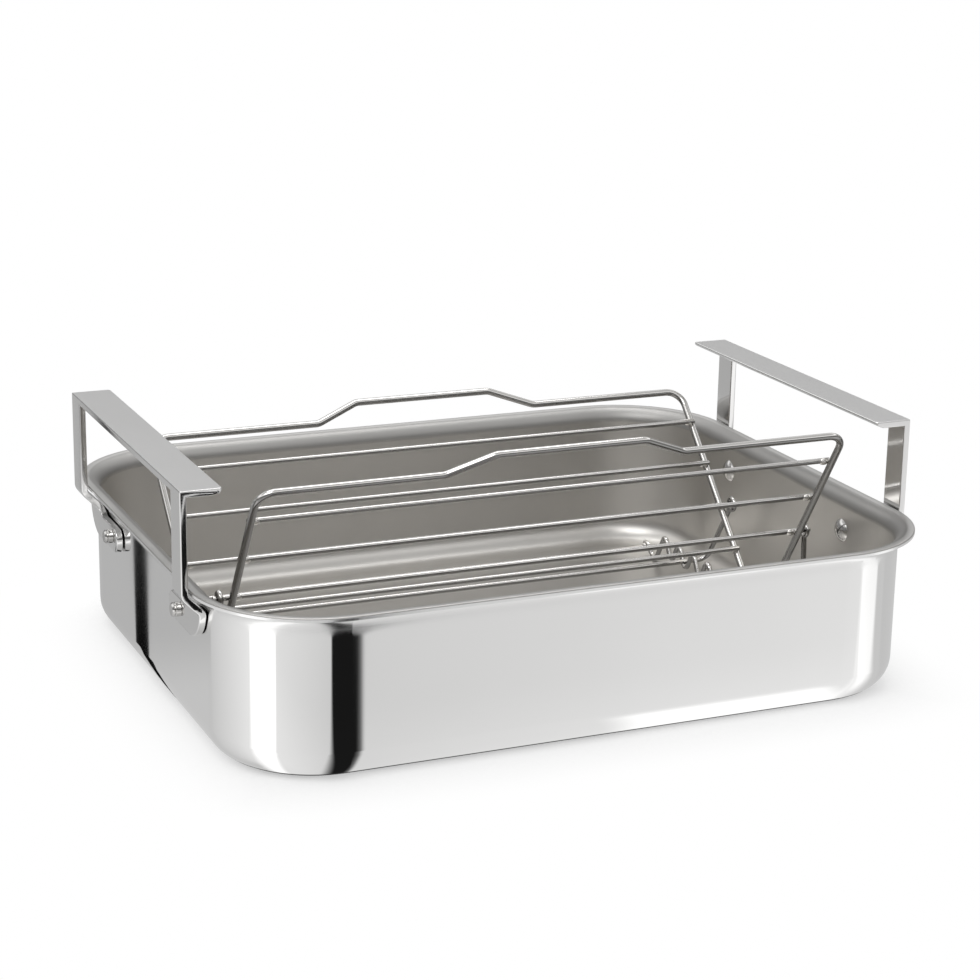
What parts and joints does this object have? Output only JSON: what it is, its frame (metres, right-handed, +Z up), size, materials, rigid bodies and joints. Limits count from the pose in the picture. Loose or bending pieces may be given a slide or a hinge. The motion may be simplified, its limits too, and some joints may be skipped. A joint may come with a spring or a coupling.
{
  "type": "roasting pan with rack",
  "caption": "Rectangular steel roasting pan with riveted upright loop handles and a folding V-shaped wire rack whose two wings stand on props in a notched base frame.",
  "frame": {"origin": "centre of the base at table height, midway between the outer faces of the handles", "axes": "+X along the pan's long side from handle to handle, +Y across the pan to the back, +Z up"},
  "size_m": [0.4092, 0.3278, 0.1431],
  "materials": {
    "pan_steel": "mirror polished stainless outside, satin inside",
    "handle_steel": "polished stainless, grip tops satin",
    "rivet_steel": "polished stainless",
    "rack_wire": "bright plated wire"
  },
  "bodies": {
    "pan": {"pan_body": "pan_steel", "left_handle": "handle_steel", "right_handle": "handle_steel", "left_rivets": "rivet_steel", "right_rivets": "rivet_steel"},
    "rack_base": {"left_notched_wire": "rack_wire", "right_notched_wire": "rack_wire", "front_base_wire": "rack_wire", "back_base_wire": "rack_wire"},
    "front_wing": {"front_wing_frame": "rack_wire", "front_wing_rod_1": "rack_wire", "front_wing_rod_2": "rack_wire", "front_wing_rod_3": "rack_wire", "front_wing_rod_4": "rack_wire"},
    "back_wing": {"back_wing_frame": "rack_wire", "back_wing_rod_1": "rack_wire", "back_wing_rod_2": "rack_wire", "back_wing_rod_3": "rack_wire", "back_wing_rod_4": "rack_wire"},
    "front_prop": {"front_prop": "rack_wire"},
    "back_prop": {"back_prop": "rack_wire"}
  },
  "joints": [
    {"name": "rack_lift", "type": "slide", "parent": "pan", "child": "rack_base", "axis": [0, 0, 1], "range_m": [0, 0.2]},
    {"name": "front_wing_tilt", "type": "hinge", "parent": "rack_base", "child": "front_wing", "pos_m": [0.0023, -0.0172, 0.0069], "axis": [-1, 0, 0], "range_deg": [0, 27]},
    {"name": "front_prop_swing", "type": "hinge", "parent": "front_wing", "child": "front_prop", "pos_m": [0.0023, -0.04879, 0.06381], "axis": [-1, 0, 0], "range_deg": [-2.7, 0]},
    {"name": "back_wing_tilt", "type": "hinge", "parent": "rack_base", "child": "back_wing", "pos_m": [0.0023, -0.0088, 0.0069], "axis": [1, 0, 0], "range_deg": [0, 39.5]},
    {"name": "back_prop_swing", "type": "hinge", "parent": "back_wing", "child": "back_prop", "pos_m": [0.0023, 0.0344, 0.05557], "axis": [1, 0, 0], "range_deg": [-15.8, 0]}
  ],
  "couplings": [
    {"joint": "front_prop_swing", "follows": "front_wing_tilt", "ratio": -0.1},
    {"joint": "back_prop_swing", "follows": "back_wing_tilt", "ratio": -0.4}
  ]
}
